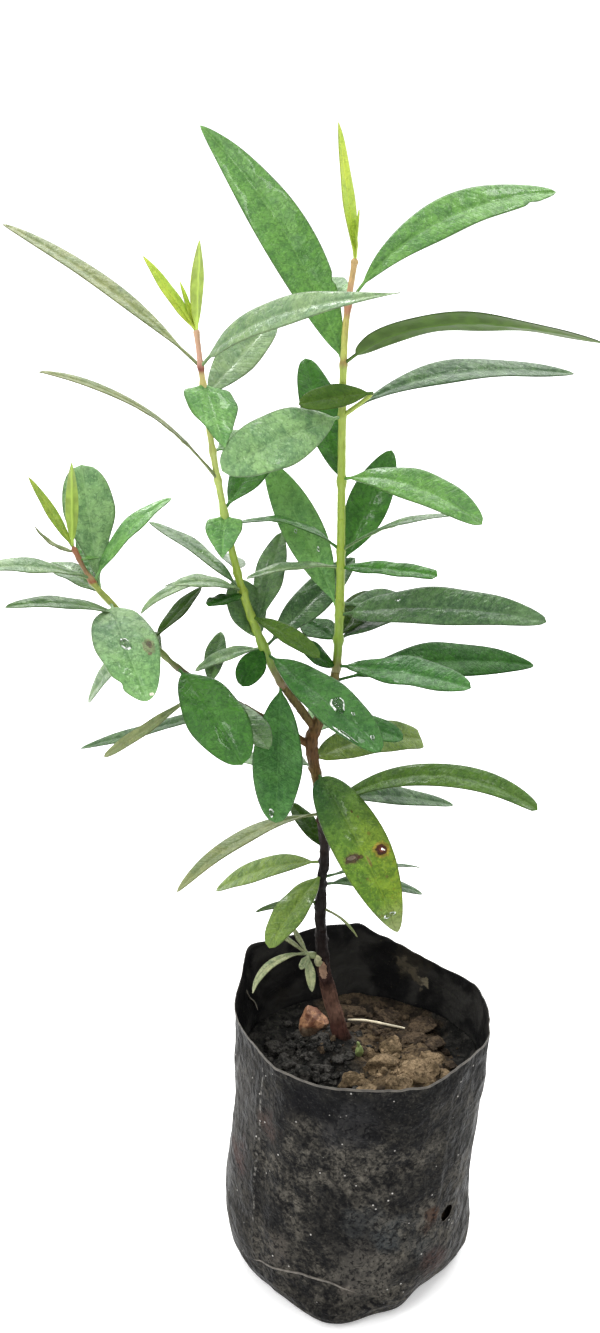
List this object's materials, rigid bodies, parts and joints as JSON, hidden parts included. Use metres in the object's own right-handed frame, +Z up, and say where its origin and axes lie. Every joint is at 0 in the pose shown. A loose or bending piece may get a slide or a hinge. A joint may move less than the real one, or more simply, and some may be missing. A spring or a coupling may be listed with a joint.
{
  "type": "potted jamun tree",
  "caption": "Young jamun fruit tree with a forked stem and long glossy leaves, rooted in soil in a black polythene nursery grow bag.",
  "frame": {"origin": "on the bag's flat underside, straight below the middle of its rim", "axes": "+Z up from the underside; -Y towards the side that the picture shows; +X to the right in that view"},
  "size_m": [0.2076, 0.1061, 0.4495],
  "materials": {
    "polythene": "satin",
    "potting_soil": "matte",
    "bark": "satin",
    "leaf": "satin",
    "yellowing_leaf": "satin",
    "sprout_leaf": "matte"
  },
  "bodies": {
    "root": {"grow_bag": "polythene", "soil": "potting_soil", "trunk": "bark", "left_bough": "bark", "far_left_bough": "bark", "right_shoot_lower": "leaf", "right_shoot_upper": "leaf", "left_shoot_lower": "leaf", "left_shoot_upper": "leaf", "far_left_shoot": "leaf", "trunk_leaf_1": "leaf", "trunk_leaf_2": "leaf", "trunk_leaf_3": "yellowing_leaf", "trunk_leaf_4": "leaf", "trunk_leaf_5": "leaf", "trunk_leaf_6": "leaf", "trunk_leaf_7": "leaf", "trunk_leaf_8": "leaf", "trunk_leaf_9": "leaf", "trunk_leaf_10": "leaf", "trunk_leaf_11": "leaf", "trunk_leaf_12": "leaf", "trunk_leaf_13": "leaf", "trunk_leaf_14": "leaf", "trunk_leaf_15": "leaf", "trunk_leaf_16": "leaf", "trunk_leaf_17": "leaf", "basal_sprout": "sprout_leaf"}
  },
  "joints": []
}
